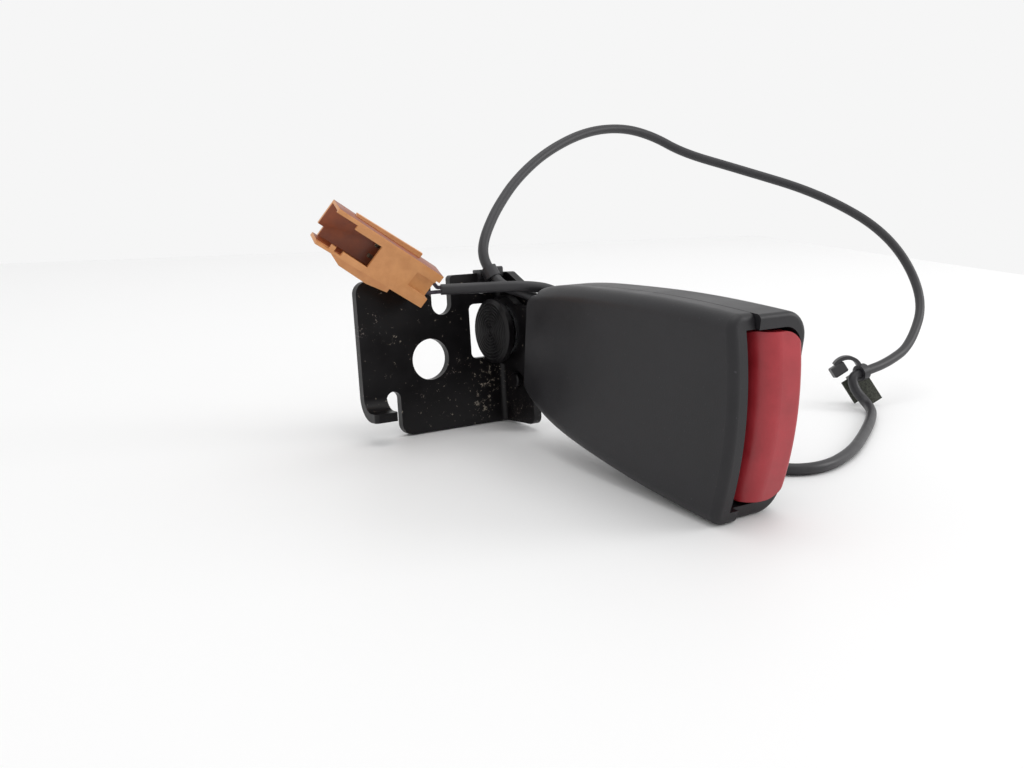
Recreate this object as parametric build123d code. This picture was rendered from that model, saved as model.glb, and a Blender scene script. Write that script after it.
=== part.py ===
"""Seat belt buckle on its anchor bracket, with the switch cable, edge clip and plug.

Millimetres, +Z up, the floor at z = 0. The buckle points along -Y. The object lies as it rests
on a table: on the back lower edge of its bracket and on the lower corner of its mouth.
"""
import os
from math import cos, hypot, pi, radians, sin, tan

from build123d import *

os.makedirs("parts", exist_ok=True)

# ---------------------------------------------------------------- driving dimensions
# where the object rests
ORIGIN_X, ORIGIN_Y = 21.73, 59.66  # bend corner of the bracket, measured from the middle of the box
LEAN = 6.6                         # bracket leans back by this angle
DROOP = 9.48                       # buckle hangs below the bracket's own horizontal

# anchor bracket: an L of 3 mm plate. Bracket frame: X across the main plate, -Y to the viewer.
PLATE_T = 3.0
PLATE_L, PLATE_H = 55.5, 53.5      # main plate, from the bend corner and from its lower edge
FLANGE_L = 18.5
FLANGE_SLOPE_FROM, FLANGE_TIP_Z = 6.2, 46.8
BEND_IN = 2.0
BOLT_X, BOLT_Z, BOLT_R = -29.2, 25.2, 7.1
NOTCH_X, NOTCH_Z, NOTCH_R = -23.6, 44.0, 3.85
WINDOW_X, WINDOW_Z, WINDOW_W, WINDOW_H = -6.5, 33.25, 12.6, 19.2
HOOK_W, HOOK_SLOT_W, HOOK_SLOT_TOP = 8.4, 5.3, 15.7
HOOK_FOLD_Z, HOOK_R, HOOK_REACH = 15.0, 5.0, 8.4
TIE_X, TIE_Z, TIE_HOLE_R = -7.2, 48.3, 2.1
GROOVE_DEPTH = 1.25                # coined in the rear face, so that the tie's strap stays below it
PIVOT_Y, PIVOT_Z = -8.2, 33.3      # rivet axis, along X through the flange

# pivot stack, along -X from the flange's inner face
FRICTION_T = 1.2
STALK_T = 3.0
WAVE_T = 1.8
RIVET_HEAD_T, RIVET_HEAD_R = 3.5, 11.2
SHANK_R = 5.0
RUNNING_FIT = 0.05
STOP_Y, STOP_Z, STOP_R, STOP_H = -10.2, 15.5, 2.6, 2.4

# stalk and frame, in the buckle frame: x to the mouth, y away from the front cover, z up
EYE_R = 12.2
STALK_Y0 = -FRICTION_T - STALK_T   # front face of the stalk at the pivot
FRAME_T = 2.4
FRAME_X0, FRAME_X1 = 45.0, 105.0
FRAME_Y0, FRAME_Y1 = -10.6, 4.0    # front face of the base, rear edge of the side walls
FRAME_HALF = 17.9
BASE_TOP = FRAME_Y0 + FRAME_T      # the tongue slides on this face
STALK_RIVET_X, STALK_RIVET_Z, STALK_RIVET_R = 54.0, 7.0, 2.4

# covers: (x, distance from the buckle's axis) along the narrow sides, the front and the rear face
HALF_AT = [(18.0, 15.7), (35.0, 21.7), (60.0, 25.3), (88.0, 27.6), (126.0, 28.4)]
FRONT_AT = [(18.0, 8.7), (48.0, 13.1), (88.0, 14.5), (126.0, 14.6)]
REAR_AT = [(18.0, 9.0), (48.0, 11.3), (88.0, 12.0), (126.0, 12.1)]
NECK_X, NECK_CORNER = 22.0, 4.6
COVER_WALL = 2.0
CAVITY_END_X = 115.0               # the cavity ends here, and the thick lip begins
FRONT_CORNER, REAR_CORNER = 4.6, 8.0
LIP_MID_X, LIP_END_X = 123.3, 119.5  # the front cover's lip bows out at mid height
FRONT_RIM, REAR_RIM = 2.2, 1.5
MOUTH_X, MOUTH_SLANT = 119.9, 0.07   # the rear cover's rim crosses the axis here, its top further out
MOUTH_HALF = 24.5
MOUTH_FRONT, MOUTH_REAR = -9.4, 10.4
PARTING_Y, PARTING_MOUTH_Y = -4.5, -6.1
PARTING_GAP = 0.12
GUIDE_Z0, GUIDE_Z1, GUIDE_TOP = 14.4, 22.5, -5.1   # blocks beside the tongue's way in

# button, ejector, latch and lock bar
BUTTON_HALF = 23.4
BUTTON_FRONT, BUTTON_REAR = -4.6, 9.7
BUTTON_X0 = 111.5                  # back of the button's head
BUTTON_CROWN_R, BUTTON_MID_X, BUTTON_MID_Z = 100.0, 124.0, 3.0   # barrel face: radius and foremost point
BUTTON_WALL = 2.0
BUTTON_LEAD_R, BUTTON_RIM_R = 6.5, 1.6   # the edge that leads the tongue in, and the rear edge
BUTTON_TRAVEL = 6.0
ARM_Z, ARM_W, ARM_Y0, ARM_Y1 = 14.0, 5.2, 4.6, 8.0
EJECTOR_X0, EJECTOR_X1 = 78.0, 96.5
LATCH_PIVOT_X, LATCH_PIVOT_Y = 70.0, -1.6
LATCH_T = 2.4
LATCH_NOSE_X = 88.0
LOCK_X = 86.0
CHORDS = 8                         # chords in one turn of a spring

# cable and what is on it
CABLE_D = 3.7
WIRE_D = 1.3
CLEAR = 0.05                       # ties and clip clear the cable by this much

# plug: its own frame starts at its wire end, x to the open end, z out of the face with the window
PLUG_REAR = (-32.74, -8.34, 50.35)    # in the bracket's frame
PLUG_RISE, PLUG_ROLL = 34.3, 24.0
PLUG_L, PLUG_HALF_REAR, PLUG_HALF_END, PLUG_HALF_T = 42.0, 6.4, 7.5, 5.25
PLUG_WALL = 1.2
SOCKET_X0 = 14.0                   # floor of the socket
WIRE_PITCH = 4.2
LOCK_SLOT_X0, LOCK_SLOT_X1 = 9.3, 12.7

# edge clip: its own frame starts at the bend over the cable, x down its legs, z out of its front leg
CLIP_TOP = (129.1, -53.5, 13.6)
CLIP_X_DIR, CLIP_Z_DIR = (0.351, -0.451, -0.819), (-0.5305, -0.8178, 0.2230)
CLIP_T = 0.9
TIE_STRAP_W, TIE_STRAP_T = 2.6, 1.1


# ---------------------------------------------------------------- frames
BRACKET = Pos(ORIGIN_X, ORIGIN_Y, PLATE_T * sin(radians(LEAN))) * Rot(X=-LEAN)
PLUG = (BRACKET * Plane(origin=PLUG_REAR, x_dir=(-cos(radians(PLUG_RISE)), 0, sin(radians(PLUG_RISE))),
                        z_dir=(0, -1, 0)).location * Rot(X=-PLUG_ROLL))
CLIP = Pos(ORIGIN_X, ORIGIN_Y) * Plane(origin=CLIP_TOP, x_dir=CLIP_X_DIR, z_dir=CLIP_Z_DIR).location
BUCKLE = BRACKET * Pos(0, PIVOT_Y, PIVOT_Z) * Rot(X=DROOP) * Rot(Z=-90)


def box(x0, x1, y0, y1, z0, z1):
    """A block between two corners."""
    return Pos((x0 + x1) / 2, (y0 + y1) / 2, (z0 + z1) / 2) * Box(x1 - x0, y1 - y0, z1 - z0)


def rod(start, direction, radius, length):
    """A round bar from a point along a direction."""
    plane = Plane(origin=start, z_dir=direction)
    return extrude(plane * Circle(radius), amount=length)


def through_x(face_yz, x0, x1):
    """Extrude a sketch drawn as (y, z) from x0 to x1."""
    return extrude(Plane(origin=(x0, 0, 0), x_dir=(0, 1, 0), z_dir=(1, 0, 0)) * face_yz, amount=x1 - x0)


def through_y(face_xz, y0, y1):
    """Extrude a sketch drawn as (x, z) from y0 to y1."""
    return extrude(Plane(origin=(0, y1, 0), x_dir=(1, 0, 0), z_dir=(0, -1, 0)) * face_xz, amount=y1 - y0)


def through_z(face_xy, z0, z1):
    """Extrude a sketch drawn as (x, y) from z0 to z1."""
    return extrude(Plane(origin=(0, 0, z0)) * face_xy, amount=z1 - z0)


def rect(x0, x1, y0, y1, radius=0.0):
    """A rectangle between two corners, with round corners if a radius is given."""
    shape = Rectangle(x1 - x0, y1 - y0) if radius <= 0 else RectangleRounded(x1 - x0, y1 - y0, radius)
    return Pos((x0 + x1) / 2, (y0 + y1) / 2) * shape


def corner_fillet(face, points, radius):
    """Round the corners of a sketch that lie at the given points."""
    near = [v for v in face.vertices() if any(hypot(v.X - x, v.Y - y) < 0.05 for x, y in points)]
    return fillet(near, radius)


# ---------------------------------------------------------------- anchor bracket
def anchor_bracket():
    """L-shaped plate with bolt hole, locating notch, rivet window, cable tie hole and hook tab."""
    strip = Polyline((-PLATE_L, 0), (0, 0), (0, -FLANGE_L), (PLATE_T, -FLANGE_L),
                     (PLATE_T, PLATE_T), (-PLATE_L, PLATE_T), close=True)
    section = make_face(strip)
    section = corner_fillet(section, [(0, 0)], BEND_IN)
    section = corner_fillet(section, [(PLATE_T, PLATE_T)], BEND_IN + PLATE_T)
    plate = through_z(section, 0, PLATE_H)

    slot_x1 = -PLATE_L + HOOK_W + HOOK_SLOT_W
    slot_r = HOOK_SLOT_W / 2
    outline = rect(-PLATE_L, PLATE_T, 0, PLATE_H)
    outline = outline - rect(-PLATE_L - 1, -PLATE_L + HOOK_W, -1, HOOK_FOLD_Z)
    outline = outline - rect(slot_x1 - HOOK_SLOT_W, slot_x1, -1, HOOK_SLOT_TOP - slot_r)
    outline = outline - Pos(slot_x1 - slot_r, HOOK_SLOT_TOP - slot_r) * Circle(slot_r)
    outline = corner_fillet(outline, [(-PLATE_L, PLATE_H), (slot_x1, 0)], 4.2)
    notch = rect(NOTCH_X - NOTCH_R, NOTCH_X + NOTCH_R, NOTCH_Z, PLATE_H + 1)
    outline = outline - notch
    outline = corner_fillet(outline, [(NOTCH_X - NOTCH_R, PLATE_H), (NOTCH_X + NOTCH_R, PLATE_H)], 1.5)
    outline = outline - Pos(NOTCH_X, NOTCH_Z) * Circle(NOTCH_R)
    outline = outline - Pos(BOLT_X, BOLT_Z) * Circle(BOLT_R)
    outline = outline - Pos(TIE_X, TIE_Z) * Circle(TIE_HOLE_R)
    outline = outline - rect(WINDOW_X - WINDOW_W / 2, WINDOW_X + WINDOW_W / 2,
                             WINDOW_Z - WINDOW_H / 2, WINDOW_Z + WINDOW_H / 2, 2.0)
    plate = plate & through_y(outline, -FLANGE_L - 1, PLATE_T + 1)
    half_groove = TIE_STRAP_W / 2 + 0.3
    plate = plate - box(TIE_X - half_groove, TIE_X + half_groove, PLATE_T - GROOVE_DEPTH, PLATE_T + 1,
                        TIE_Z, PLATE_H + 1)

    flange = make_face(Polyline((PLATE_T, 0), (-FLANGE_L, 0), (-FLANGE_L, FLANGE_TIP_Z),
                                (-FLANGE_SLOPE_FROM, PLATE_H), (PLATE_T, PLATE_H), close=True))
    flange = corner_fillet(flange, [(-FLANGE_L, 0), (-FLANGE_L, FLANGE_TIP_Z),
                                    (-FLANGE_SLOPE_FROM, PLATE_H)], 3.0)
    flange = flange - Pos(PIVOT_Y, PIVOT_Z) * Circle(SHANK_R)
    flange = flange - Pos(STOP_Y, STOP_Z) * Circle(STOP_R - 0.6)
    plate = plate & through_x(flange, -PLATE_L - 1, PLATE_T + 1)
    return plate + hook_tab()


def hook_tab():
    """Lower left tab, folded forward on a large radius, that hooks over the floor panel."""
    ring = Circle(HOOK_R + PLATE_T) - Circle(HOOK_R)
    quarter = ring & rect(0, HOOK_R + PLATE_T + 1, -HOOK_R - PLATE_T - 1, 0)
    fold = Pos(-HOOK_R, HOOK_FOLD_Z) * quarter
    low = HOOK_FOLD_Z - HOOK_R - PLATE_T
    fold = fold + rect(-HOOK_REACH, -HOOK_R, low, low + PLATE_T)
    tab = through_x(fold, -PLATE_L, -PLATE_L + HOOK_W)
    tip = [e for e in tab.edges().filter_by(Axis.Z) if e.center().Y < -HOOK_REACH + 0.1]
    return fillet(tip, 1.3)


def revolve_x(profile_xr):
    """Revolve a sketch drawn as (x, radius) about the rivet axis."""
    plane = Plane(origin=(0, PIVOT_Y, PIVOT_Z), x_dir=(1, 0, 0), z_dir=(0, -1, 0))
    axis = Axis((0, PIVOT_Y, PIVOT_Z), (1, 0, 0))
    return revolve(plane * profile_xr, axis=axis)


HEAD_X1 = -FRICTION_T - STALK_T - WAVE_T       # under the rivet's head
HEAD_X0 = HEAD_X1 - RIVET_HEAD_T


def pivot_rivet():
    """Wide flat-headed rivet with a turned face, its tail spun over behind the flange."""
    outline = Polyline((HEAD_X0 + 0.35, 0), (HEAD_X0, 1.6), (HEAD_X0, RIVET_HEAD_R - 0.9),
                       (HEAD_X0 + 0.7, RIVET_HEAD_R), (HEAD_X1 - 0.9, RIVET_HEAD_R),
                       (HEAD_X1, RIVET_HEAD_R - 1.2), (HEAD_X1, SHANK_R), (PLATE_T, SHANK_R),
                       (PLATE_T, 7.6), (PLATE_T + 1.1, 7.4), (PLATE_T + 2.1, 5.6),
                       (PLATE_T + 2.1, 0), close=True)
    return revolve_x(make_face(outline))


def friction_washer():
    """Plastic disc between the flange and the stalk."""
    return revolve_x(rect(-FRICTION_T + 0.02, -0.02, SHANK_R + 0.2, 6.6))


def wave_washer():
    """Coned spring washer that clamps the stalk against the friction disc."""
    inner, outer, thick = SHANK_R + 0.25, 9.2, 0.7
    back = HEAD_X1 + WAVE_T - 0.04
    outline = Polyline((HEAD_X1, inner), (HEAD_X1 + thick, inner), (back, outer - 0.2),
                       (back, outer), (back - thick, outer), close=True)
    return revolve_x(make_face(outline))


def stop_pin():
    """Short pin riveted through the flange, which limits how far the buckle drops."""
    pin = rod((-STOP_H, STOP_Y, STOP_Z), (1, 0, 0), STOP_R, STOP_H)
    pin = chamfer(pin.edges().sort_by(Axis.X)[0], 0.4)
    return pin + rod((-0.1, STOP_Y, STOP_Z), (1, 0, 0), STOP_R - 0.6, PLATE_T + 0.1)


# ---------------------------------------------------------------- stalk and buckle frame
def stalk_plate():
    """Flat arm from the pivot into the covers, with a joggle that brings it down on the frame."""
    lower = [(-14, STALK_Y0), (27, STALK_Y0), (36, BASE_TOP), (64, BASE_TOP)]
    upper = [(64, BASE_TOP + STALK_T), (36 + 0.6, BASE_TOP + STALK_T),
             (27 + 0.6, STALK_Y0 + STALK_T), (-14, STALK_Y0 + STALK_T)]
    side = through_z(make_face(Polyline(*lower, *upper, close=True)), -20, 20)
    neck_top = Polyline((0, 0), (0, 11.5), (9, 10.2), (17.5, 11.4), (24, 14.6), (33, 14.6),
                        (39, 11.1), (64, 11.1), (64, 0), close=True)
    neck_low = Polyline((0, 0), (0, -11.8), (9, -11.8), (14.4, -14.0), (22, -15.0), (33, -15.0),
                        (39, -11.1), (64, -11.1), (64, 0), close=True)
    outline = make_face(neck_top) + make_face(neck_low) + Circle(EYE_R)
    outline = corner_fillet(outline, [(9, 10.2), (9, -11.8), (17.5, 11.4), (14.4, -14.0),
                                      (33, 14.6), (33, -15.0), (39, 11.1), (39, -11.1)], 3.0)
    outline = outline - Circle(SHANK_R + RUNNING_FIT)
    outline = outline - rect(50.0, 65.0, -1.9, 1.9)
    for z in (-STALK_RIVET_Z, STALK_RIVET_Z):
        outline = outline - Pos(STALK_RIVET_X, z) * Circle(STALK_RIVET_R)
    return side & through_y(outline, -20, 20)


def buckle_frame():
    """Steel channel: the base that the tongue slides on and two side walls for latch and lock bar."""
    channel = rect(FRAME_Y0, FRAME_Y1, -FRAME_HALF, FRAME_HALF)
    channel = channel - rect(BASE_TOP, FRAME_Y1 + 1, -FRAME_HALF + FRAME_T, FRAME_HALF - FRAME_T)
    channel = corner_fillet(channel, [(FRAME_Y0, -FRAME_HALF), (FRAME_Y0, FRAME_HALF)], 3.4)
    channel = corner_fillet(channel, [(BASE_TOP, -FRAME_HALF + FRAME_T), (BASE_TOP, FRAME_HALF - FRAME_T)], 1.0)
    body = through_x(channel, FRAME_X0, FRAME_X1)
    side = make_face(Polyline((FRAME_X0, FRAME_Y0), (FRAME_X1, FRAME_Y0), (FRAME_X1, -5.0),
                              (98.0, FRAME_Y1), (50.0, FRAME_Y1), (FRAME_X0, -3.0), close=True))
    side = corner_fillet(side, [(98.0, FRAME_Y1), (50.0, FRAME_Y1)], 2.0)
    side = side - rect(68.4, 71.6, -3.2, 0.2, 0.6)
    side = side - rect(LOCK_X - 1.7 - BUTTON_TRAVEL, LOCK_X + 1.7, -0.2, 2.2, 0.8)
    body = body & through_z(side, -FRAME_HALF - 1, FRAME_HALF + 1)
    base = rect(84.5, 91.5, -6.4, 6.4, 1.5) + rect(66.4, 81.6, -2.0, 2.0, 1.5)
    for z in (-STALK_RIVET_Z, STALK_RIVET_Z):
        base = base + Pos(STALK_RIVET_X, z) * Circle(STALK_RIVET_R)
    return body - through_y(base, FRAME_Y0 - 1, BASE_TOP + 0.01)


def stalk_rivets():
    """Two rivets that hold the stalk on the frame's base."""
    group = []
    for z in (-STALK_RIVET_Z, STALK_RIVET_Z):
        top = BASE_TOP + STALK_T
        shank = rod((STALK_RIVET_X, FRAME_Y0, z), (0, 1, 0), STALK_RIVET_R, top - FRAME_Y0)
        head = rod((STALK_RIVET_X, top, z), (0, 1, 0), 4.2, 1.0)
        group.append(shank + chamfer(head.edges().sort_by(Axis.Y)[-1], 0.6))
    return Compound(children=group)


# ---------------------------------------------------------------- covers
def mirrored_band(points, lower_points, inset):
    """Area between two curves given by their distances from the x axis, both moved inwards."""
    upper = [(x, d - inset) for x, d in points]
    lower = [(x, inset - d) for x, d in lower_points]
    return make_face(Wire([
        Spline(*upper),
        Line(upper[-1], lower[-1]),
        Spline(*reversed(lower)),
        Line(lower[0], upper[0]),
    ]))


def cover_form(inset):
    """Outer form of both covers, or their cavity: plan and side profile crossed, long edges rounded."""
    form = through_y(mirrored_band(HALF_AT, HALF_AT, inset), -20, 20)
    form = form & through_z(mirrored_band(REAR_AT, FRONT_AT, inset), -40, 40)
    long_edges = [e for e in form.edges() if e.length > 60]
    form = fillet([e for e in long_edges if e.center().Y < 0], FRONT_CORNER - inset)
    long_edges = [e for e in form.edges() if e.length > 60 and e.center().Y > REAR_AT[0][1] - 4]
    return fillet([e for e in long_edges if abs(e.center().Z) > 15], REAR_CORNER - inset)


def trimmed(form, mouth_end, rim_radius):
    """The form cut at the neck and at a mouth end drawn as (x, z), with its rim rounded."""
    neck = rect(NECK_X, 140, -40, 40)
    neck = neck & (Pos(NECK_X + 20, 0) * RectangleRounded(40, 2 * HALF_AT[0][1] + 3.2, NECK_CORNER)
                   + rect(NECK_X + 6, 140, -40, 40))
    form = form & through_y(neck, -30, 30)
    form = form & through_y(mouth_end, -30, 30)
    rim = [e for e in form.edges() if e.bounding_box().min.X > LIP_END_X - 4]
    return fillet(rim, rim_radius)


def mouth_opening():
    """Opening of the covers that the button fills, with larger corners at the rear."""
    face = rect(MOUTH_FRONT, MOUTH_REAR, -MOUTH_HALF, MOUTH_HALF)
    face = corner_fillet(face, [(MOUTH_REAR, MOUTH_HALF), (MOUTH_REAR, -MOUTH_HALF)], 7.0)
    return through_x(face, CAVITY_END_X - 1, 130.0)


def cover_cavity():
    """Hollow of both covers, from the neck to the mouth."""
    cavity = cover_form(COVER_WALL) & box(0, CAVITY_END_X, -30, 30, -40, 40)
    return cavity + mouth_opening()


def parted(offset):
    """Space on the rear side of the parting line, moved by an offset."""
    line = Polyline((0, 30), (0, PARTING_Y + offset), (NECK_X, PARTING_Y + offset),
                    (LIP_END_X, PARTING_MOUTH_Y + offset), (140, PARTING_MOUTH_Y + offset), (140, 30),
                    close=True)
    return through_z(make_face(line), -40, 40)


def front_cover(form, cavity):
    """Broad front shell with a bowed lip at the tongue slot, tongue guides and pads for the frame."""
    bow = Wire([
        Line((0, -40), (LIP_END_X - 4, -40)),
        ThreePointArc((LIP_END_X - 4, -40), (LIP_MID_X, 0), (LIP_END_X - 4, 40)),
        Line((LIP_END_X - 4, 40), (0, 40)),
        Line((0, 40), (0, -40)),
    ])
    cover = trimmed(form, make_face(bow), FRONT_RIM) - cavity
    inner_front = -FRONT_AT[-1][1] + COVER_WALL
    for x in (62.0, 96.0):
        for z in (-9.0, 9.0):
            cover = cover + box(x - 3, x + 3, inner_front - 1.0, FRAME_Y0, z - 1, z + 1)
    for side in (-1, 1):
        z0, z1 = sorted((side * GUIDE_Z0, side * GUIDE_Z1))
        cover = cover + box(FRAME_X1 + 0.4, CAVITY_END_X + 0.5, inner_front - 0.5, GUIDE_TOP, z0, z1)
    return cover - parted(-PARTING_GAP)


def rear_cover(form, cavity):
    """Rear shell with full round corners and two pairs of posts that press on the side walls."""
    slant = Polyline((0, -40), (MOUTH_X - 40 * MOUTH_SLANT, -40), (MOUTH_X + 40 * MOUTH_SLANT, 40),
                     (0, 40), close=True)
    cover = trimmed(form, make_face(slant), REAR_RIM) - cavity
    cover = cover & parted(PARTING_GAP)
    for x in (57.0, 93.0):
        for z in (-18.3, 18.3):
            cover = cover + box(x - 2.5, x + 2.5, FRAME_Y1 + 0.02, 10.9, z - 1.1, z + 1.1)
    return cover


# ---------------------------------------------------------------- button, latch and ejector
def push_button():
    """Crowned button that fills the mouth, hollow behind, with two pushing arms."""
    face = rect(BUTTON_FRONT, BUTTON_REAR, -BUTTON_HALF, BUTTON_HALF)
    face = corner_fillet(face, [(BUTTON_REAR, BUTTON_HALF), (BUTTON_REAR, -BUTTON_HALF)], 6.4)
    face = corner_fillet(face, [(BUTTON_FRONT, BUTTON_HALF), (BUTTON_FRONT, -BUTTON_HALF)], 1.2)
    head = through_x(face, BUTTON_X0, 132.0)
    side = rect(BUTTON_CROWN_R - 30, BUTTON_CROWN_R, BUTTON_FRONT, BUTTON_REAR)
    side = corner_fillet(side, [(BUTTON_CROWN_R, BUTTON_FRONT)], BUTTON_LEAD_R)
    side = corner_fillet(side, [(BUTTON_CROWN_R, BUTTON_REAR)], BUTTON_RIM_R)
    barrel = revolve(Rot(Y=-25) * side, axis=Axis((0, 0, 0), (0, 1, 0)), revolution_arc=50)
    head = head & Pos(BUTTON_MID_X - BUTTON_CROWN_R, 0, BUTTON_MID_Z) * barrel
    hollow = rect(BUTTON_FRONT + BUTTON_WALL, BUTTON_REAR - BUTTON_WALL,
                  -BUTTON_HALF + 2 * BUTTON_WALL, BUTTON_HALF - 2 * BUTTON_WALL, 2.0)
    head = head - through_x(hollow, BUTTON_X0 - 1, BUTTON_X0 + 5)
    for side in (-1, 1):
        z = side * ARM_Z
        head = head + box(72.0, BUTTON_X0 + 5.5, ARM_Y0, ARM_Y1, z - ARM_W / 2, z + ARM_W / 2)
    return head


def coil_spring(x0, x1, y, z, outer_d, wire_d, turns):
    """Compression spring along x, drawn light: square wire along a helix of eight chords a turn."""
    radius = (outer_d - wire_d) / 2
    steps = turns * CHORDS
    rise = (x1 - x0 - wire_d) / steps
    points = [(x0 + wire_d / 2 + rise * i, y + radius * cos(2 * pi * i / CHORDS),
               z + radius * sin(2 * pi * i / CHORDS)) for i in range(steps + 1)]
    path = Polyline(*points)
    section = Plane(origin=path @ 0, z_dir=path % 0) * Rectangle(wire_d, wire_d)
    return sweep(section, path=path, transition=Transition.RIGHT)


def button_springs():
    """Two return springs behind the button's arms, running into bores of the carrier."""
    springs = [coil_spring(56.5, 71.9, 6.3, z, 3.2, 0.5, 9) for z in (-ARM_Z, ARM_Z)]
    return Compound(children=springs)


def mechanism_carrier():
    """Moulded block over the stalk's end: spring bores, a cable channel and the switch shelf."""
    block = box(46.0, 64.5, BASE_TOP + STALK_T + 1.1, 8.2, -15.4, 15.4)
    block = block - box(46.0 - 1, 64.5 + 1, 3.6, 9.0, -4.0, 4.0)
    for z in (-ARM_Z, ARM_Z):
        block = block - rod((49.5, 6.3, z), (1, 0, 0), 1.9, 20)
    shelf = box(60.0, 83.0, 2.5, 4.0, -9.0, 9.0)
    leg = box(46.0, 49.4, BASE_TOP + STALK_T, BASE_TOP + STALK_T + 1.2, -10.0, 10.0)
    return block + shelf + leg


def buckle_switch():
    """Small switch block on the carrier's shelf, with its plunger cap towards the mouth."""
    body = box(66.0, 80.0, 4.0, 8.6, -6.0, 6.0)
    body = chamfer(body.edges().filter_by(Axis.Y), 0.6)
    return body + rod((80.0, 6.2, 0), (1, 0, 0), 1.2, 1.5)


def switch_lead():
    """Last stretch of the cable inside the covers, from the neck to the switch."""
    path = FilletPolyline((36.0, 5.6, 2.0), (44.0, 5.9, 0.0), (66.0, 5.9, 0.0), radius=10.0)
    section = Plane(origin=path @ 0, z_dir=path % 0) * Circle(CABLE_D / 2)
    return sweep(section, path=path)


def latch_plate():
    """Stamped latch that tips about its ears; its nose drops through the tongue's window."""
    y0, y1 = LATCH_PIVOT_Y - LATCH_T / 2, LATCH_PIVOT_Y + LATCH_T / 2
    outline = rect(67.0, 90.0, -10.6, 10.6, 2.0) - rect(74.0, 80.0, -4.0, 4.0, 1.5)
    plate = through_y(outline, y0, y1)
    plate = plate + rod((LATCH_PIVOT_X, LATCH_PIVOT_Y, -16.6), (0, 0, 1), LATCH_T / 2, 33.2)
    nose = make_face(Polyline((LATCH_NOSE_X - 1.6, y0 + 0.1), (LATCH_NOSE_X + 1.6, y0 + 0.1),
                              (LATCH_NOSE_X + 1.6, -3.6), (LATCH_NOSE_X + 0.2, -4.5),
                              (LATCH_NOSE_X - 1.6, -4.5), close=True))
    return plate + through_z(nose, -4.0, 4.0)


def latch_spring():
    """Flat spring from the carrier that bears on the latch."""
    strip = Polyline((64.5, 1.3), (70.0, 0.6), (76.5, 0.05), (76.5, 0.4), (70.0, 0.95), (64.5, 1.65), close=True)
    return through_z(make_face(strip), -4.5, 4.5)


def lock_bar():
    """Bar across the side walls that blocks the latch until the button moves it back."""
    bar = through_z(rect(LOCK_X - 1.5, LOCK_X + 1.5, 0.0, 2.0, 0.6), -FRAME_HALF - 0.8, FRAME_HALF + 0.8)
    return bar


def ejector():
    """Forked slider that lifts the tongue out and holds the latch up until it is pushed in."""
    outline = rect(EJECTOR_X0, EJECTOR_X1, -10.0, 10.0, 1.0)
    outline = outline - rect(EJECTOR_X0 + 5.0, EJECTOR_X1 + 1, -5.0, 5.0)
    slider = through_y(outline, BASE_TOP + 0.1, BASE_TOP + 2.5)
    return slider + box(EJECTOR_X0, EJECTOR_X0 + 3.0, BASE_TOP - 1.6, BASE_TOP + 0.2, -1.5, 1.5)


def ejector_spring():
    """Return spring of the ejector, which runs into the slot at the stalk's end."""
    return coil_spring(61.5, EJECTOR_X0 - 0.05, BASE_TOP + 1.7, 0.0, 2.8, 0.45, 11)


# ---------------------------------------------------------------- cable route and plug
CABLE_ROUTE = [
    # inside the neck, over the stalk, behind the plug's strand and up through the tie
    (5.2, -35.5, 35.5), (4.6, -28.2, 39.7), (2.4, -21, 45), (-2, -15.2, 48.6), (-4.1, -8.6, 49.4),
    (-4.5, -2.4, 50.7), (-5.7, 2.2, 54.8), (-6.2, 5.4, 58.6), (-4.9, 8.1, 62.8),
    # free arch behind the bracket
    (-1, 11.5, 68), (7.4, 17.8, 75.6), (21.9, 27, 85.5), (41.4, 35.4, 95.4),
    (64.1, 41.1, 103), (83.6, 42.4, 104.8), (98.8, 40.3, 101.6), (111.7, 34.8, 94.4),
    (131, 23.2, 88.2), (157, -2.6, 77.6), (177, -24, 61),
    # down to the edge clip, folded there, and along the floor
    (179, -41.6, 36.6), (159, -51.4, 20), (141, -54.6, 15.4), (127, -55.2, 13.6), (120.8, -54.4, 12.4),
    (120.6, -56.6, 7.4), (122.4, -61, 3), (117.4, -67.6, 1.9), (106, -76, 1.9),
    (88, -87.5, 1.9), (67, -99.5, 1.9), (46, -105.8, 1.9), (33, -98.5, 1.9),
    # up behind the buckle and back over the stalk to the plug
    (24, -74, 6), (18, -50, 20), (15.2, -35, 35), (12.8, -25.5, 43.9), (5, -21.3, 50), (-3.2, -18.8, 51.5),
    (-10.7, -12.3, 51), (-19.1, -5.7, 50.3), (-27.8, -2.2, 50.1),
]


def corner_radii(points):
    """Largest arc that each corner's two runs allow: 0.45 of the shorter run."""
    radii = []
    for a, b, c in zip(points, points[1:], points[2:]):
        first, second = Vector(*b) - Vector(*a), Vector(*c) - Vector(*b)
        half_turn = radians(first.get_angle(second)) / 2
        radii.append(0.45 * min(first.length, second.length) / tan(half_turn))
    return radii


def tube(points, diameter):
    """A round cord along straight runs joined by tangent arcs."""
    radii = corner_radii(points)
    path = FilletPolyline(*points, radius=radii)
    section = Plane(origin=path @ 0, z_dir=path % 0) * Circle(diameter / 2)
    solid = sweep(section, path=path)
    print("cord: length %.1f, tightest arc %.1f, volume / (section x length) %.4f" % (
        path.length, min(radii), solid.volume / (pi * diameter ** 2 / 4 * path.length)))
    return solid


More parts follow.
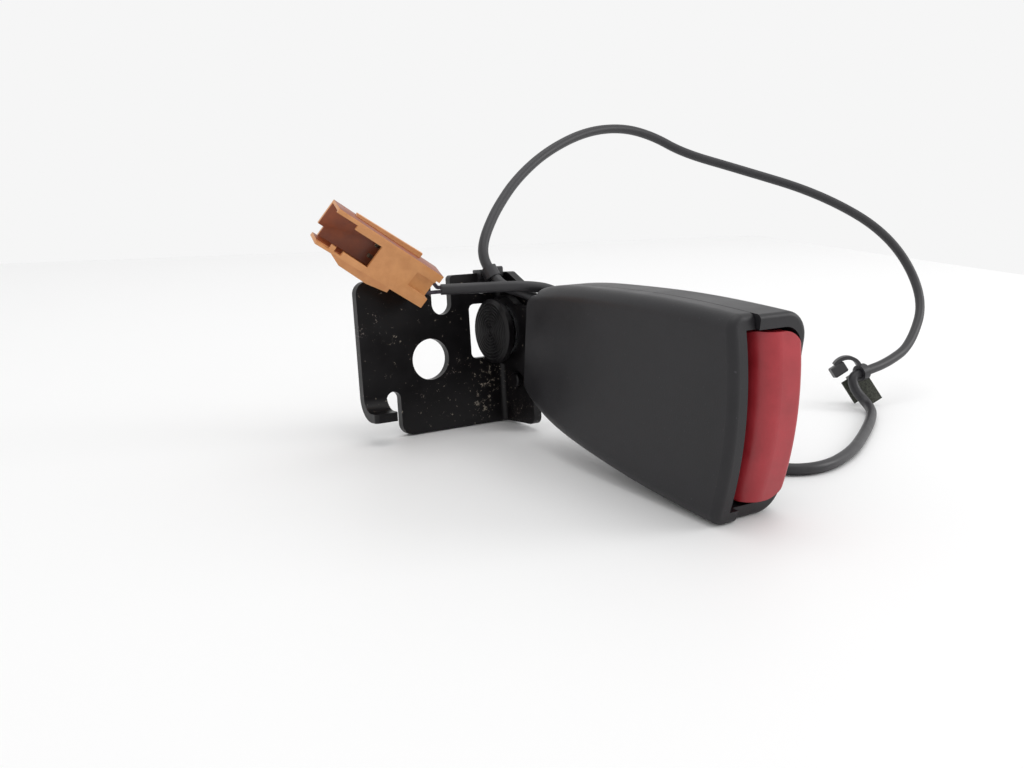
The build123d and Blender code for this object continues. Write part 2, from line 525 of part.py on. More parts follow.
def connector_housing():
    """Orange plug housing: a socket with an open window, rails, and a cut-back wire end."""
    end, rear, t = PLUG_HALF_END, PLUG_HALF_REAR, PLUG_HALF_T
    body = through_z(make_face(Polyline((0, -rear), (0, rear), (PLUG_L, end), (PLUG_L, -end), close=True)), -t, t)
    body = body + through_z(rect(8.0, 34.0, -8.3, -6.0), -3.4, -1.6)
    rail = Polyline((12.3, 6.0), (12.3, 8.5), (20.0, 9.8), (31.0, 9.6), (36.0, 7.4), (36.0, 6.0), close=True)
    body = body + through_z(make_face(rail), 2.0 - t, t - 1.6)
    body = body - through_z(rect(-1.0, 1.3, -3.9, 2.8), -t - 1, t + 1)
    body = body - box(-1, 8.6, -3.1, 2.3, t - 0.8, t + 1)
    inner = PLUG_HALF_END - PLUG_WALL
    socket = Polyline((SOCKET_X0, -inner + 0.7), (SOCKET_X0, inner - 0.7), (PLUG_L + 1, inner),
                      (PLUG_L + 1, -inner), close=True)
    body = body - through_z(make_face(socket), -t + PLUG_WALL, t - PLUG_WALL)
    window = rect(23.4, 34.4, -3.8, 4.8) + rect(34.0, PLUG_L + 1, -5.7, 4.8)
    window = window + rect(37.2, PLUG_L + 1, 4.0, 6.6) + rect(32.8, 35.6, 4.0, 6.4)
    body = body - through_z(window, t - PLUG_WALL - 0.5, t + 1)
    body = body - box(PLUG_L - 2.2, PLUG_L + 1, 3.0, end + 1, -t - 1, -t + PLUG_WALL + 0.4)
    for side in (-1, 1):
        body = body - rod((0, side * WIRE_PITCH / 2, 0), (1, 0, 0), 0.95, SOCKET_X0 + 1)
    slot = box(LOCK_SLOT_X0, LOCK_SLOT_X1, -4.6, 4.6, -t - 1, -1.4)
    return body - slot


def connector_terminals():
    """Two pins: a crimped end on the wire, a flat blade in the socket."""
    group = []
    for side in (-1, 1):
        y = side * WIRE_PITCH / 2
        crimp = rod((2.0, y, 0), (1, 0, 0), 0.85, 8.0)
        group.append(crimp + box(9.0, 24.0, y - 0.6, y + 0.6, -0.32, 0.32))
    return Compound(children=group)


def terminal_lock():
    """Flat comb pushed in from the far side, behind the terminals."""
    lock = box(LOCK_SLOT_X0 + 0.1, LOCK_SLOT_X1 - 0.1, -4.5, 4.5, -PLUG_HALF_T + 0.3, -1.5)
    return lock - box(10.4, 11.6, -2.5, 2.5, -PLUG_HALF_T, -PLUG_HALF_T + 1.0)


def plug_wires(cable_end, cable_run):
    """Two thin wires from the cable's jacket to the terminals."""
    along = (Vector(*cable_end) - Vector(*cable_run)).normalized()
    group = []
    for side in (-1, 1):
        last = (PLUG * Pos(2.0, side * WIRE_PITCH / 2, 0)).position
        near = (PLUG * Pos(-0.6, side * WIRE_PITCH / 2, 0)).position
        first = Vector(*cable_end) + along * CLEAR - Vector(0, 0, side * 0.75)
        path = FilletPolyline(first, first + along * 1.2, near, last, radius=0.8)
        group.append(sweep(Plane(origin=path @ 0, z_dir=path % 0) * Circle(WIRE_D / 2), path=path))
    return Compound(children=group)


def bracket_tie():
    """Strap through the bracket's small hole and over its edge, a collar round the cable and a head."""
    inside, outside = 0.08, 0.08 + TIE_STRAP_T
    rear = PLATE_T - 0.05
    low, high = TIE_Z - TIE_STRAP_T / 2, PLATE_H + 0.1
    loop = rect(-outside, rear, low, high + TIE_STRAP_T, 0.5)
    loop = loop - rect(-inside, rear - TIE_STRAP_T, low + TIE_STRAP_T, high)
    tie = through_x(loop, TIE_X - TIE_STRAP_W / 2, TIE_X + TIE_STRAP_W / 2)
    collar_at, collar_dir = (-5.6, -4.45, 53.4), (-0.2, 0.45, 0.87)
    tie = tie + rod(Vector(*collar_at) - Vector(*collar_dir) * 2.0, collar_dir, CABLE_D / 2 + 1.1, 4.0)
    tie = tie + box(TIE_X - 1.3, TIE_X + 2.6, -2.4, -outside + 0.2, 51.6, 54.4)
    head = box(-4.6, -0.5, -5.0, -1.0, 51.8, 55.6)
    tie = tie + chamfer(head.edges(), 0.4)
    return tie


def edge_clip():
    """Spring steel clip for a panel edge: two legs of unlike width joined by a bend at the top."""
    front = box(0, 12.5, -5.7, 0, -CLIP_T / 2, CLIP_T / 2)
    back = box(0, 9.5, -9.0, -3.4, -4.5, -4.5 + CLIP_T)
    bend = box(-1.0, 0.1, -6.4, -3.0, -4.5, CLIP_T / 2)
    bend = fillet(bend.edges().filter_by(Axis.Y).sort_by(Axis.X)[:2], 0.8)
    return front + back + bend


def clip_tie(channel, clip):
    """Collar round the cable on the clip, with the tie's head standing off on its strap."""
    centre, along = Vector(125.6, -55.1, 13.5), Vector(0.985, -0.05, 0.165)
    collar = rod(centre - along * 1.5, along, CABLE_D / 2 + 1.3, 3.0)
    strap_path = ThreePointArc((124.4, -54.4, 16.4), (119.4, -51.6, 19.2), (116.4, -49.6, 16.4))
    strap = sweep(Plane(origin=strap_path @ 0, z_dir=strap_path % 0, x_dir=CLIP_Z_DIR)
                  * Rectangle(TIE_STRAP_W, TIE_STRAP_T + 0.3), path=strap_path)
    head = Plane(origin=(117.6, -50.6, 14.6), x_dir=(0.77, -0.356, 0.526), z_dir=CLIP_Z_DIR) * Box(5.7, 4.2, 4.0)
    tie = collar + strap + chamfer(head.edges(), 0.4)
    foot = Plane(origin=centre - Vector(*CLIP_Z_DIR) * 2.6, x_dir=along, z_dir=CLIP_Z_DIR) * Box(2.6, 2.6, 2.4)
    tie = Pos(ORIGIN_X, ORIGIN_Y) * (tie + foot)
    return tie - clip - channel


def main():
    """Build every node and write its STEP file."""
    form, cavity = cover_form(0.0), cover_cavity()
    on_bracket = {
        "anchor_bracket": anchor_bracket(),
        "pivot_rivet": pivot_rivet(),
        "friction_washer": friction_washer(),
        "wave_washer": wave_washer(),
        "stop_pin": stop_pin(),
    }
    in_buckle = {
        "stalk_plate": stalk_plate(),
        "buckle_frame": buckle_frame(),
        "stalk_rivets": stalk_rivets(),
        "front_cover": front_cover(form, cavity),
        "rear_cover": rear_cover(form, cavity),
        "push_button": push_button(),
        "button_springs": button_springs(),
        "mechanism_carrier": mechanism_carrier(),
        "buckle_switch": buckle_switch(),
        "switch_lead": switch_lead(),
        "latch_plate": latch_plate(),
        "latch_spring": latch_spring(),
        "lock_bar": lock_bar(),
        "ejector": ejector(),
        "ejector_spring": ejector_spring(),
    }
    nodes = {name: BRACKET * shape for name, shape in on_bracket.items()}
    nodes.update({name: BUCKLE * shape for name, shape in in_buckle.items()})
    resting = [shape.bounding_box() for shape in nodes.values()]
    print("box x %.2f %.2f  y %.2f %.2f  z %.3f %.2f" % (
        min(b.min.X for b in resting), max(b.max.X for b in resting),
        min(b.min.Y for b in resting), max(b.max.Y for b in resting),
        min(b.min.Z for b in resting), max(b.max.Z for b in resting)))
    route = [(ORIGIN_X + x, ORIGIN_Y + y, z) for x, y, z in CABLE_ROUTE]
    nodes["switch_cable"] = tube(route, CABLE_D)
    channel = tube(route, CABLE_D + 2 * CLEAR)
    nodes["connector_housing"] = PLUG * connector_housing()
    nodes["connector_terminals"] = PLUG * connector_terminals()
    nodes["terminal_lock"] = PLUG * terminal_lock()
    nodes["plug_wires"] = plug_wires(route[-1], route[-2])
    nodes["bracket_tie"] = BRACKET * bracket_tie() - channel
    nodes["edge_clip"] = CLIP * edge_clip() - channel
    nodes["clip_tie"] = clip_tie(channel, nodes["edge_clip"])
    for name, shape in nodes.items():
        export_step(shape, "parts/%s.step" % name)


main()
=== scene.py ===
"""Dresses the seat belt buckle: camera, cable, finishes, moulded and turned details, and stage."""
from math import cos, radians, sin

import bpy
from mathutils import Matrix, Vector


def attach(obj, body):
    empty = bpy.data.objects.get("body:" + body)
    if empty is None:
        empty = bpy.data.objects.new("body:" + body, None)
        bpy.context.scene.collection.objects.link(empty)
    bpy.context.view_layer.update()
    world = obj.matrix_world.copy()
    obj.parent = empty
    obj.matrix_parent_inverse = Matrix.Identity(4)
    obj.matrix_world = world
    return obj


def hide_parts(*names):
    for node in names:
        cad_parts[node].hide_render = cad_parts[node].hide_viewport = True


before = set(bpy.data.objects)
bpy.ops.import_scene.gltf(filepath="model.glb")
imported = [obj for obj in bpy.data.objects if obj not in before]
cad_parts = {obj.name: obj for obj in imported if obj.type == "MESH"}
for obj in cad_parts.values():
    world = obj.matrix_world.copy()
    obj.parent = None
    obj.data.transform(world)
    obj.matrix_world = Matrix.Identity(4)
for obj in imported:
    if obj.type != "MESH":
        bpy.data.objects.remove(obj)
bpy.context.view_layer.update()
MM = 0.001

# ---------------------------------------------------------------- places shared with the solids, mm
BEND = Vector((21.73, 59.66, 0))      # bend corner of the bracket on the floor plane
PLATE_T = 3.0
LEAN = 6.6                            # degrees that the bracket leans back
PIVOT_Y = -8.2                        # pivot rivet, in the bracket's own frame
PIVOT_Z = 33.3
RIVET_FACE_X = -9.5                   # outer face of the rivet's head, in the bracket's own frame
RIVET_HEAD_R = 11.2
CABLE_D = 3.7
SOCKET_X = (13.9, 41.9)               # bottom and mouth of the plug's socket, in the plug's own frame
SOCKET_HALF_Y = 6.4                   # a little over half the socket's width, its flare included
SOCKET_HALF_Z = 4.1                   # a little over half its height
PLUG_REAR = (-32.74, -8.34, 50.35)    # rear end of the plug, in the bracket's own frame
PLUG_RISE = 34.3                      # degrees that the plug's axis climbs
PLUG_ROLL = 24.0                      # degrees that the plug is turned about its axis

BRACKET = (Matrix.Translation(BEND + Vector((0, 0, PLATE_T * sin(radians(LEAN)))))
           @ Matrix.Rotation(radians(-LEAN), 4, "X"))
PLUG_X = Vector((-cos(radians(PLUG_RISE)), 0, sin(radians(PLUG_RISE))))
PLUG_Z = Vector((0, -1, 0))
PLUG = (BRACKET @ Matrix.Translation(PLUG_REAR)
        @ Matrix((PLUG_X, PLUG_Z.cross(PLUG_X), PLUG_Z)).transposed().to_4x4()
        @ Matrix.Rotation(radians(-PLUG_ROLL), 4, "X"))


def place(x, y, z):
    """A point in metres from millimetres measured from the bend corner."""
    return (BEND + Vector((x, y, z))) * MM


def on_bracket(x, y, z):
    """A point of the bracket's own frame, in millimetres from the scene's origin."""
    return BRACKET @ Vector((x, y, z))


# ---------------------------------------------------------------- camera
CAMERA_AT = place(-200.1, -312.1, 98.4)
CAMERA_LOOK = Vector((0.5305, 0.8178, -0.2230))
CAMERA_LENS_MM = 37.04
CAMERA_SENSOR_MM = 36.0
CAMERA_ROLL = 0.16    # degrees


def make_camera():
    """The viewing camera, turned about its axis by a slight roll."""
    data = bpy.data.cameras.new("view_camera")
    data.lens = CAMERA_LENS_MM
    data.sensor_width = CAMERA_SENSOR_MM
    data.clip_start = 0.01
    data.clip_end = 20.0
    camera = bpy.data.objects.new("view_camera", data)
    bpy.context.collection.objects.link(camera)
    turn = CAMERA_LOOK.to_track_quat("-Z", "Y").to_matrix().to_4x4()
    roll = Matrix.Rotation(radians(CAMERA_ROLL), 4, "Z")
    camera.matrix_world = Matrix.Translation(CAMERA_AT) @ turn @ roll
    bpy.context.scene.camera = camera


make_camera()

# ---------------------------------------------------------------- cable
CABLE_ROUTE = [
    # inside the neck, over the stalk, behind the plug's strand and up through the tie
    (5.2, -35.5, 35.5), (4.6, -28.2, 39.7), (2.4, -21, 45), (-2, -15.2, 48.6), (-4.1, -8.6, 49.4),
    (-4.5, -2.4, 50.7), (-5.7, 2.2, 54.8), (-6.2, 5.4, 58.6), (-4.9, 8.1, 62.8),
    # free arch behind the bracket
    (-1, 11.5, 68), (7.4, 17.8, 75.6), (21.9, 27, 85.5), (41.4, 35.4, 95.4),
    (64.1, 41.1, 103), (83.6, 42.4, 104.8), (98.8, 40.3, 101.6), (111.7, 34.8, 94.4),
    (131, 23.2, 88.2), (157, -2.6, 77.6), (177, -24, 61),
    # down to the edge clip, folded there, and along the floor
    (179, -41.6, 36.6), (159, -51.4, 20), (141, -54.6, 15.4), (127, -55.2, 13.6), (120.8, -54.4, 12.4),
    (120.6, -56.6, 7.4), (122.4, -61, 3), (117.4, -67.6, 1.9), (106, -76, 1.9),
    (88, -87.5, 1.9), (67, -99.5, 1.9), (46, -105.8, 1.9), (33, -98.5, 1.9),
    # up behind the buckle and back over the stalk to the plug
    (24, -74, 6), (18, -50, 20), (15.2, -35, 35), (12.8, -25.5, 43.9), (5, -21.3, 50), (-3.2, -18.8, 51.5),
    (-10.7, -12.3, 51), (-19.1, -5.7, 50.3), (-27.8, -2.2, 50.1),
]


def make_cable():
    """The switch cable as one smooth curve with the cable's round section."""
    curve = bpy.data.curves.new("switch_cable_jacket", "CURVE")
    curve.dimensions = "3D"
    spline = curve.splines.new("NURBS")
    spline.points.add(len(CABLE_ROUTE) - 1)
    for point, at in zip(spline.points, CABLE_ROUTE):
        point.co = (*place(*at), 1.0)
        point.radius = CABLE_D / 2 * MM
    spline.order_u = 3
    spline.use_endpoint_u = True
    spline.resolution_u = 12
    curve.bevel_depth = 1.0    # times each point's radius, which is the jacket's own
    curve.bevel_resolution = 5
    curve.use_fill_caps = True
    jacket = bpy.data.objects.new("switch_cable_jacket", curve)
    bpy.context.collection.objects.link(jacket)
    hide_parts("switch_cable")
    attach(jacket, "bracket")
    return jacket


# ---------------------------------------------------------------- housing and clip with broken edges
MERGE_WITHIN = 0.002 * MM      # corners of loose triangles closer than this become one
FLAT_WITHIN = radians(0.5)     # faces that differ less than this are joined
SHARP_FROM = radians(40)       # edges at least this sharp are rounded
SMOOTH_BELOW = radians(35)


def select_only(piece):
    """Leave one object selected and active."""
    bpy.ops.object.select_all(action="DESELECT")
    bpy.context.view_layer.objects.active = piece
    piece.select_set(True)


def broken_edges(node, name, width_mm):
    """A merged copy of a solid's mesh with a small round on its sharp edges, which stands for the solid."""
    piece = bpy.data.objects.new(name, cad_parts[node].data.copy())
    bpy.context.collection.objects.link(piece)
    select_only(piece)
    bpy.ops.object.mode_set(mode="EDIT")
    bpy.ops.mesh.select_all(action="SELECT")
    bpy.ops.mesh.remove_doubles(threshold=MERGE_WITHIN)
    bpy.ops.mesh.dissolve_limited(angle_limit=FLAT_WITHIN)
    bpy.ops.object.mode_set(mode="OBJECT")
    bevel = piece.modifiers.new("broken_edges", "BEVEL")
    bevel.width = width_mm * MM
    bevel.segments = 2
    bevel.limit_method = "ANGLE"
    bevel.angle_limit = SHARP_FROM
    bpy.ops.object.modifier_apply(modifier=bevel.name)
    bpy.ops.object.shade_smooth_by_angle(angle=SMOOTH_BELOW)
    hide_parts(node)
    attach(piece, "bracket")
    return piece


housing = broken_edges("connector_housing", "plug_housing_moulded", width_mm=0.22)
clip = broken_edges("edge_clip", "edge_clip_pressed", width_mm=0.15)
cable = make_cable()

# ---------------------------------------------------------------- tools for materials
MIDDLE = (0.3, 0.7)             # the span that most of a noise lies in
MIX_A, MIX_B, MIXED = 6, 7, 2   # sockets of a colour mix, by number because others share their names


def linear(hex_code):
    """Linear RGBA of an sRGB hex colour."""
    values = [int(hex_code[i:i + 2], 16) / 255 for i in (0, 2, 4)]
    return tuple(v / 12.92 if v <= 0.04045 else ((v + 0.055) / 1.055) ** 2.4 for v in values) + (1.0,)


def fill_inputs(tree, node, inputs):
    """Give each named input a plain value, or join it to another node's output."""
    for name, value in inputs.items():
        if isinstance(value, bpy.types.NodeSocket):
            tree.links.new(value, node.inputs[name])
        else:
            node.inputs[name].default_value = value


def add_node(tree, kind, inputs=None, **settings):
    """Add a node, make its own settings and fill its inputs."""
    node = tree.nodes.new(kind)
    for name, value in settings.items():
        setattr(node, name, value)
    fill_inputs(tree, node, inputs or {})
    return node


def start_material(name, base, roughness, metallic=0.0, ior=1.46):
    """A material with its shader's plain numbers set, and object coordinates in millimetres."""
    material = bpy.data.materials.new(name)
    material.use_nodes = True
    tree = material.node_tree
    shader = tree.nodes["Principled BSDF"]
    fill_inputs(tree, shader, {
        "Base Color": linear(base), "Roughness": roughness, "Metallic": metallic, "IOR": ior})
    coordinates = add_node(tree, "ShaderNodeTexCoord")
    in_mm = add_node(tree, "ShaderNodeMapping", {
        "Vector": coordinates.outputs["Object"], "Scale": (1 / MM, 1 / MM, 1 / MM)})
    return material, tree, shader, in_mm.outputs["Vector"]


def mottle(tree, shader, at, size_mm, detail=4.0, harshness=0.55, tones=None, tone_span=MIDDLE,
           roughness=None, roughness_span=MIDDLE):
    """Blotches that carry the base colour between two tones and the roughness between two numbers."""
    blotches = add_node(tree, "ShaderNodeTexNoise", {
        "Vector": at, "Scale": 1 / size_mm, "Detail": detail, "Roughness": harshness}).outputs["Fac"]
    if tones:
        colours = add_node(tree, "ShaderNodeValToRGB", {"Fac": blotches})
        for stop, place_on_ramp, tone in zip(colours.color_ramp.elements, tone_span, tones):
            stop.position = place_on_ramp
            stop.color = linear(tone)
        fill_inputs(tree, shader, {"Base Color": colours.outputs["Color"]})
    if roughness:
        gloss = add_node(tree, "ShaderNodeMapRange", {
            "Value": blotches, "From Min": roughness_span[0], "From Max": roughness_span[1],
            "To Min": roughness[0], "To Max": roughness[1]})
        fill_inputs(tree, shader, {"Roughness": gloss.outputs["Result"]})
    return blotches


def lay_spots(tree, shader, pattern, span, colour):
    """Spots of a colour over the base colour so far, wherever a pattern rises through a span."""
    amount = add_node(tree, "ShaderNodeMapRange", {
        "Value": pattern, "From Min": span[0], "From Max": span[1]})
    below = shader.inputs["Base Color"].links[0].from_socket
    spotted = add_node(tree, "ShaderNodeMix", {
        0: amount.outputs["Result"], MIX_A: below, MIX_B: linear(colour)}, data_type="RGBA")
    fill_inputs(tree, shader, {"Base Color": spotted.outputs[MIXED]})


def grain(tree, shader, mm, size_mm, depth_mm, strength, detail=2.0):
    """Fine unevenness of a surface, which breaks up its gloss."""
    height = add_node(tree, "ShaderNodeTexNoise", {
        "Vector": mm, "Scale": 1 / size_mm, "Detail": detail, "Roughness": 0.55})
    relief = add_node(tree, "ShaderNodeBump", {
        "Height": height.outputs["Fac"], "Distance": depth_mm * MM, "Strength": strength})
    fill_inputs(tree, shader, {"Normal": relief.outputs["Normal"]})


# ---------------------------------------------------------------- materials
# The real grain of moulded and coated faces is near 0.1 mm, which is too fine to show, so the grain here
# is about five times as coarse.
def cover_plastic():
    """Moulded polypropylene with a fine spark-eroded grain: charcoal, matt, with specks of dust."""
    material, tree, shader, mm = start_material("moulded_polypropylene", "1c1b1e", roughness=0.42, ior=1.4)
    mottle(tree, shader, mm, size_mm=14.0, tones=("18171a", "212023"), roughness=(0.38, 0.47))
    dust = add_node(tree, "ShaderNodeTexNoise", {
        "Vector": mm, "Scale": 1 / 0.9, "Detail": 2.0, "Roughness": 0.55})
    lay_spots(tree, shader, dust.outputs["Fac"], span=(0.70, 0.78), colour="37363b")
    grain(tree, shader, mm, size_mm=0.45, depth_mm=0.05, strength=0.6)
    return material


def red_plastic():
    """Moulded ABS, satin gloss: brick red with a faint mottle from handling."""
    material, tree, shader, mm = start_material("satin_abs_red", "a02630", roughness=0.34, ior=1.5)
    mottle(tree, shader, mm, size_mm=7.0, tones=("98232b", "a92c35"),
           roughness=(0.3, 0.42), roughness_span=(0.35, 0.7))
    grain(tree, shader, mm, size_mm=0.6, depth_mm=0.02, strength=0.5)
    return material


def coated_steel(name, scuffs_at=()):
    """Stamped steel with black e-coat: near black, slight gloss, faint orange peel, scuffed specks."""
    material, tree, shader, mm = start_material(name, "0c0a0c", roughness=0.34, ior=1.35)
    mottle(tree, shader, mm, size_mm=9.0, detail=5.0, tones=("0a080a", "110f11"), tone_span=(0.3, 0.75),
           roughness=(0.3, 0.44))
    patches = add_node(tree, "ShaderNodeTexNoise", {
        "Vector": mm, "Scale": 1 / 16.0, "Detail": 2.0, "Roughness": 0.55})
    specks = add_node(tree, "ShaderNodeTexNoise", {
        "Vector": mm, "Scale": 1 / 0.8, "Detail": 3.0, "Roughness": 0.7})
    in_patches = add_node(tree, "ShaderNodeMath", {
        0: patches.outputs["Fac"], 1: specks.outputs["Fac"]}, operation="MULTIPLY")
    lay_spots(tree, shader, in_patches.outputs["Value"], span=(0.40, 0.46), colour="77706c")
    for point, reach in scuffs_at:
        away = add_node(tree, "ShaderNodeVectorMath", {0: mm, 1: point}, operation="DISTANCE")
        near = add_node(tree, "ShaderNodeMapRange", {
            "Value": away.outputs["Value"], "From Min": 0.3 * reach, "From Max": reach,
            "To Min": 0.09, "To Max": 0.0})
        scratches = add_node(tree, "ShaderNodeTexNoise", {
            "Vector": mm, "Scale": 1 / 1.5, "Detail": 4.0, "Roughness": 0.75})
        worn = add_node(tree, "ShaderNodeMath", {
            0: near.outputs["Result"], 1: scratches.outputs["Fac"]}, operation="ADD")
        lay_spots(tree, shader, worn.outputs["Value"], span=(0.655, 0.70), colour="8b8378")
    grain(tree, shader, mm, size_mm=1.1, depth_mm=0.03, strength=0.5, detail=3.0)
    return material


def cable_pvc():
    """Extruded PVC jacket: dark grey, matt, with a faint mottle."""
    material, tree, shader, mm = start_material("extruded_pvc", "242326", roughness=0.45, ior=1.5)
    mottle(tree, shader, mm, size_mm=5.0, tones=("201f22", "2b2a2d"), roughness=(0.4, 0.52))
    grain(tree, shader, mm, size_mm=0.5, depth_mm=0.02, strength=0.5)
    return material


def orange_plastic(name, dark, light):
    """Moulded PBT: orange with faint flow marks, satin."""
    material, tree, shader, mm = start_material(name, light, roughness=0.4, ior=1.55)
    mottle(tree, shader, mm, size_mm=4.0, tones=(dark, light), roughness=(0.36, 0.48))
    grain(tree, shader, mm, size_mm=0.5, depth_mm=0.02, strength=0.4)
    return material


def dark_nylon():
    """Moulded nylon: black, slightly glossy, with a soft flow pattern."""
    material, tree, shader, mm = start_material("moulded_nylon_black", "1d1c1f", roughness=0.4, ior=1.53)
    mottle(tree, shader, mm, size_mm=3.0, detail=3.0, tones=("1d1c1f", "2a292c"), tone_span=(0.0, 1.0),
           roughness=(0.34, 0.5))
    grain(tree, shader, mm, size_mm=0.7, depth_mm=0.03, strength=0.5)
    return material


def phosphated_steel():
    """Spring steel with a phosphate coat: greenish dark grey, matt, finely mottled by its crystals."""
    material, tree, shader, mm = start_material(
        "phosphated_spring_steel", "35372f", roughness=0.5, metallic=0.3)
    crystals = mottle(tree, shader, mm, size_mm=0.8, harshness=0.7, tones=("24261f", "4a4c43"),
                      tone_span=(0.35, 0.65))
    relief = add_node(tree, "ShaderNodeBump", {"Height": crystals, "Distance": 0.04 * MM, "Strength": 0.5})
    fill_inputs(tree, shader, {"Normal": relief.outputs["Normal"]})
    return material


def bare_steel(name, base, roughness, grain_mm):
    """Rolled, plated or ground metal: bright, with grain lines along Y of the given width and length."""
    width, length = grain_mm
    material, tree, shader, mm = start_material(name, base, roughness, metallic=1.0, ior=1.5)
    stretched = add_node(tree, "ShaderNodeMapping", {
        "Vector": mm, "Scale": (1 / width, 1 / length, 1 / width)})
    lines = mottle(tree, shader, stretched.outputs["Vector"], size_mm=1.0, detail=3.0, harshness=0.5,
                   roughness=(roughness - 0.08, roughness + 0.1))
    relief = add_node(tree, "ShaderNodeBump", {"Height": lines, "Distance": 0.02 * MM, "Strength": 0.4})
    fill_inputs(tree, shader, {"Normal": relief.outputs["Normal"]})
    return material


def matt_plastic(name, base):
    """Plain moulded or extruded plastic: matt, with a fine texture."""
    material, tree, shader, mm = start_material(name, base, roughness=0.5, ior=1.5)
    mottle(tree, shader, mm, size_mm=2.5, detail=3.0, roughness=(0.44, 0.58))
    grain(tree, shader, mm, size_mm=0.4, depth_mm=0.03, strength=0.5)
    return material


def floor_paint():
    """Matt white paint, rolled on: pale and even, with a faint texture."""
    material, tree, shader, mm = start_material("white_floor", "f6f6f6", roughness=0.55)
    grain(tree, shader, mm, size_mm=3.0, depth_mm=0.03, strength=0.3, detail=3.0)
    return material


# ---------------------------------------------------------------- finish of each node
SCUFFS = [    # a point of the bracket's front and how far the wear around it reaches
    (tuple(on_bracket(-7.0, 0, 16.0)), 10.0),
    (tuple(on_bracket(-9.0, 0, 7.0)), 8.0),
    (tuple(on_bracket(-44.0, 0, 34.0)), 3.0),
]
turned_black = coated_steel("turned_black_steel")
orange = orange_plastic("moulded_pbt_orange", "c98851", "da9a62")
pvc = cable_pvc()
FINISHES = [
    (coated_steel("black_e_coated_steel", SCUFFS), ["anchor_bracket", "stalk_plate", "stop_pin"]),
    (turned_black, ["pivot_rivet"]),
    (cover_plastic(), ["front_cover", "rear_cover"]),
    (red_plastic(), ["push_button"]),
    (pvc, ["switch_lead"]),
    (orange, ["terminal_lock"]),
    (dark_nylon(), ["bracket_tie", "clip_tie"]),
    (bare_steel("tin_plated_brass", "b8b09a", roughness=0.3, grain_mm=(0.2, 2.0)), ["connector_terminals"]),
    (bare_steel("zinc_plated_steel", "a7a596", roughness=0.35, grain_mm=(0.3, 6.0)),
     ["buckle_frame", "stalk_rivets", "latch_plate", "lock_bar"]),
    (bare_steel("spring_steel", "8d8f92", roughness=0.28, grain_mm=(0.2, 0.6)),
     ["wave_washer", "latch_spring", "button_springs", "ejector_spring"]),
    (matt_plastic("wire_insulation", "3f3844"), ["plug_wires"]),
    (matt_plastic("acetal_carrier", "3a3b3d"), ["mechanism_carrier", "ejector"]),
    (matt_plastic("switch_housing", "1d1d1f"), ["buckle_switch"]),
    (matt_plastic("natural_acetal", "d8d4c8"), ["friction_washer"]),
]
for material, names in FINISHES:
    for name in names:
        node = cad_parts[name]
        if not node.material_slots:
            node.data.materials.append(material)
        for slot in node.material_slots:
            slot.material = material
cable.data.materials.append(pvc)
clip.data.materials.clear()
clip.data.materials.append(phosphated_steel())

# ---------------------------------------------------------------- plug housing
UPPER_TAPER = 0.2    # share of its half width that the housing's upper side loses at the open end


def finish_housing():
    """Less flare along the upper side, orange outside, and inside the socket a deeper red orange that is
    painted shade.

    A face counts as inside by where its middle lies. The taper draws the upper wall in so far that its
    outer side counts as inside too, and takes the painted shade as well.
    """
    to_plug = (Matrix.Scale(MM, 4) @ PLUG).inverted()
    mesh = housing.data
    mesh.materials.clear()
    mesh.materials.append(orange)
    # the second material is the same orange made darker and redder: painted shade for the inside of the
    # socket
    mesh.materials.append(orange_plastic("moulded_pbt_painted_socket_shade", "7d3814", "974a20"))
    for vertex in mesh.vertices:
        at = to_plug @ vertex.co
        if at.y < 0:
            at.y *= 1 - UPPER_TAPER * max(0, at.x) / SOCKET_X[1]
            vertex.co = to_plug.inverted() @ at
    # faces inside the socket take the painted shade material, all others the plain orange
    for face in mesh.polygons:
        at = to_plug @ face.center
        along = SOCKET_X[0] < at.x < SOCKET_X[1]
        across = abs(at.y) < SOCKET_HALF_Y and abs(at.z) < SOCKET_HALF_Z
        face.material_index = 1 if along and across else 0


finish_housing()

# ---------------------------------------------------------------- turned face of the rivet, mm
FACE_MARGIN = 0.95    # rim of the head that stays plain
FACE_SUNK = 0.05      # the disc starts this far under the head's face
FACE_EDGE = 0.2       # width and rise of the disc's sloping rim
FACE_RISE = 0.3
FACE_SIDES = 96
RING_COUNT = 9
RING_LAND = 0.34      # width of a ring's flat, of its flank, and the depth between rings
RING_FLANK = 0.20
RING_DEPTH = 0.24


def inset(thickness_mm, rise_mm):
    """Inset the selected face and move what is left of it along its normal."""
    bpy.ops.mesh.inset(thickness=thickness_mm * MM, depth=rise_mm * MM, use_even_offset=True)


def turned_face():
    """A thin disc on the rivet's head, with rings left by the lathe tool that insets cut one by one."""
    bpy.ops.object.select_all(action="DESELECT")
    bpy.ops.mesh.primitive_circle_add(
        vertices=FACE_SIDES, radius=(RIVET_HEAD_R - FACE_MARGIN) * MM, fill_type="NGON",
        location=on_bracket(RIVET_FACE_X + FACE_SUNK, PIVOT_Y, PIVOT_Z) * MM,
        rotation=(0, radians(-90), 0))
    face = bpy.context.active_object
    face.name = "rivet_turned_face"
    bpy.ops.object.transform_apply(location=True, rotation=True, scale=True)
    bpy.ops.object.mode_set(mode="EDIT")
    bpy.ops.mesh.select_all(action="SELECT")
    inset(FACE_EDGE, FACE_RISE)
    for _ in range(RING_COUNT):
        inset(RING_LAND, 0.0)
        inset(RING_FLANK, -RING_DEPTH)
        inset(RING_LAND, 0.0)
        inset(RING_FLANK, RING_DEPTH)
    bpy.ops.object.mode_set(mode="OBJECT")
    bpy.ops.object.shade_smooth_by_angle(angle=radians(20))
    face.data.materials.append(turned_black)
    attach(face, "bracket")


turned_face()

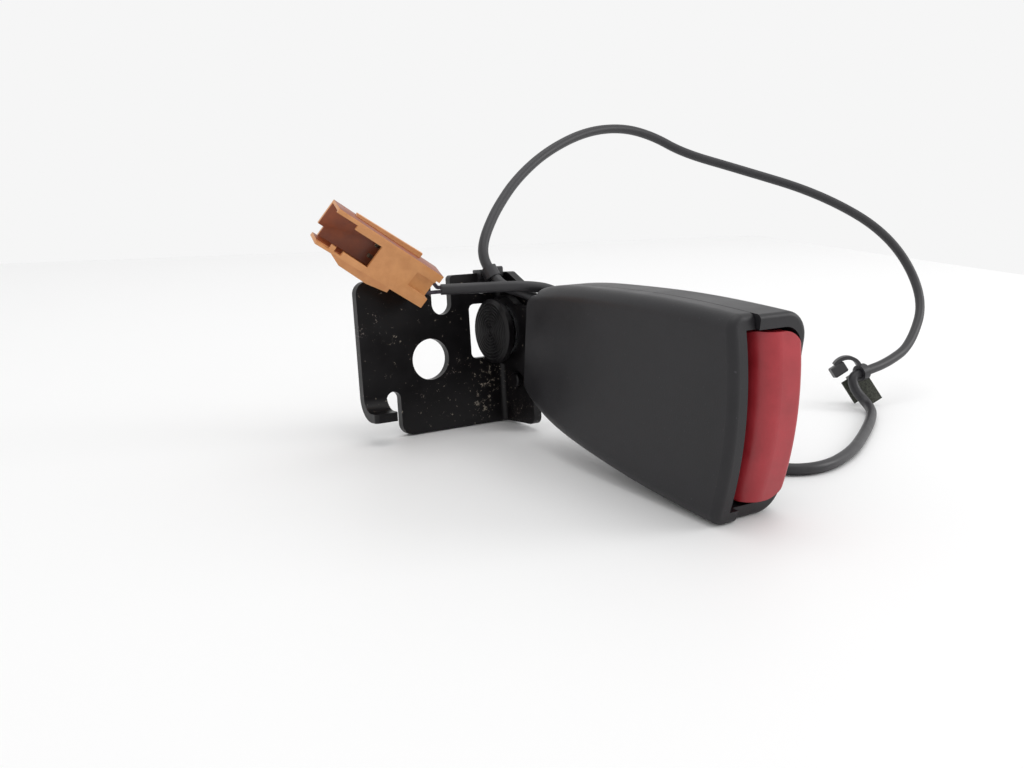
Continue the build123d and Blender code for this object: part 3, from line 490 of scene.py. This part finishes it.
# ---------------------------------------------------------------- stage and light
ROOM_CORNER = (658.0, 520.0)      # where two walls would meet on the floor, mm from the bend corner
ROOM_LEFT = (-82.0, 646.0)        # points on the lines where the walls would stand
ROOM_RIGHT = (574.0, 155.0)
LEFT_REACH = 4                    # the floor's edges run this many times as far as those points
RIGHT_REACH = 12
FLOOR_NEAR = (-4.0, -3.8, 0.0)    # metres, the floor's corner behind the camera
SURROUND = "f6f6f6"
WORLD_LIGHT = 0.8
LAMPS = [    # name, place, point aimed at, side in metres, watts
    ("overhead", (0.15, 0.0, 1.1), (0.05, 0.0, 0.0), 0.9, 3.2),
    ("from_right", (0.9, -0.5, 0.5), (0.0, 0.0, 0.03), 0.5, 3.0),
]


def beyond(start, end, times):
    """A floor point in metres on the line from start through end, both in mm from the bend corner."""
    x = start[0] + (end[0] - start[0]) * times
    y = start[1] + (end[1] - start[1]) * times
    return place(x, y, 0)


def make_floor():
    """White floor that ends where two walls would stand; the pale surround shows beyond its edges."""
    mesh = bpy.data.meshes.new("floor")
    corners = [beyond(ROOM_CORNER, ROOM_LEFT, LEFT_REACH), FLOOR_NEAR,
               beyond(ROOM_CORNER, ROOM_RIGHT, RIGHT_REACH), place(*ROOM_CORNER, 0)]
    mesh.from_pydata(corners, [], [(0, 1, 2, 3)])
    mesh.materials.append(floor_paint())
    floor = bpy.data.objects.new("floor", mesh)
    bpy.context.collection.objects.link(floor)


def make_lamp(name, at, towards, side, watts):
    """A soft square lamp aimed at a point."""
    data = bpy.data.lights.new(name, "AREA")
    data.size = side
    data.energy = watts
    lamp = bpy.data.objects.new(name, data)
    bpy.context.collection.objects.link(lamp)
    lamp.location = at
    lamp.rotation_euler = (Vector(towards) - Vector(at)).to_track_quat("-Z", "Y").to_euler()


def make_world():
    """Even white light on the object; the camera and glossy rays see a plain pale surround instead."""
    world = bpy.data.worlds.new("studio")
    bpy.context.scene.world = world
    world.use_nodes = True
    tree = world.node_tree
    light = tree.nodes["Background"]
    fill_inputs(tree, light, {"Color": (1, 1, 1, 1), "Strength": WORLD_LIGHT})
    surround = add_node(tree, "ShaderNodeBackground", {"Color": linear(SURROUND), "Strength": 1.0})
    ray = add_node(tree, "ShaderNodeLightPath")
    seen = add_node(tree, "ShaderNodeMath", {
        0: ray.outputs["Is Camera Ray"], 1: ray.outputs["Is Glossy Ray"]}, operation="MAXIMUM")
    mixed = add_node(tree, "ShaderNodeMixShader", {
        0: seen.outputs["Value"], 1: light.outputs["Background"], 2: surround.outputs["Background"]})
    fill_inputs(tree, tree.nodes["World Output"], {"Surface": mixed.outputs["Shader"]})


make_floor()
make_world()
for lamp_settings in LAMPS:
    make_lamp(*lamp_settings)
bpy.context.scene.view_settings.view_transform = "Standard"
